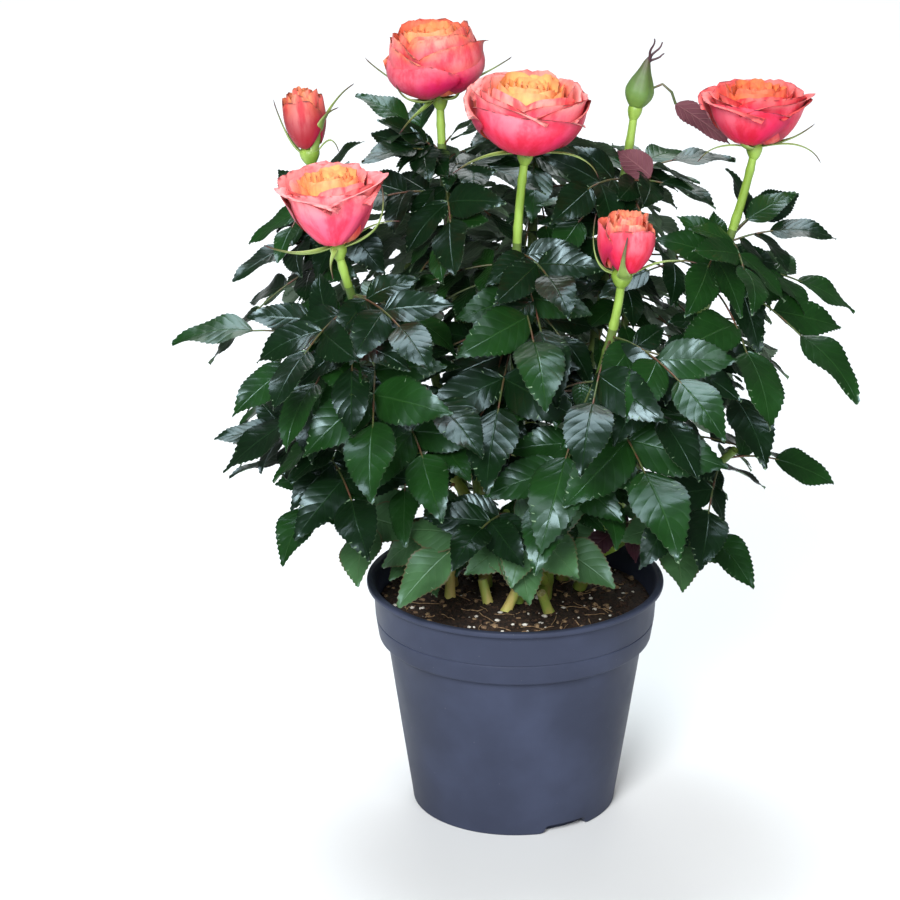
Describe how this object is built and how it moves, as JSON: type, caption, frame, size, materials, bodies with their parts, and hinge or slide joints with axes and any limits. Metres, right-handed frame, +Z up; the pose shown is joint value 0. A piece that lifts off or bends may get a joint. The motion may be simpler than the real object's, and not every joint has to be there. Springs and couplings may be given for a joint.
{
  "type": "potted rose bush",
  "caption": "Compact rose bush in flower, with compound toothed leaves and cupped blooms on bare stalks, rooted in soil in a round nursery pot with a stepped collar.",
  "frame": {"origin": "middle of the pot's flat underside", "axes": "+Z up along the pot's axis, -Y to the front of the plant as pictured, +X to the right of that view"},
  "size_m": [0.292, 0.2428, 0.3432],
  "materials": {
    "pot": "satin",
    "soil": "matte",
    "stem": "satin",
    "leaf": "satin",
    "bloom": "soft",
    "bud": "soft"
  },
  "bodies": {
    "root": {"pot": "pot", "soil": "soil", "stub_1": "stem", "stub_2": "stem", "stub_3": "stem", "stub_4": "stem", "cane_left": "stem", "cane_top_left": "stem", "cane_top_middle": "stem", "cane_right": "stem", "cane_front": "stem", "cane_top_right": "stem", "cane_back_middle": "stem", "cane_back_left": "stem", "bough_far_left": "stem", "bough_left_low": "stem", "bough_right_low": "stem", "bough_front_low": "stem", "bough_back_right": "stem", "bloom_top_left": "bloom", "bloom_top_middle": "bloom", "bloom_left": "bloom", "bloom_right": "bloom", "bud_far_left": "bloom", "bud_front": "bloom", "bud_top_right": "bud", "leaves_left": "leaf", "leaves_top_left": "leaf", "leaves_top_middle": "leaf", "leaves_right": "leaf", "leaves_front": "leaf", "leaves_top_right": "leaf", "leaves_back_middle": "leaf", "leaves_back_left": "leaf", "leaves_far_left": "leaf", "leaves_left_low": "leaf", "leaves_right_low": "leaf", "leaves_front_low": "leaf", "leaves_back_right": "leaf"}
  },
  "joints": []
}
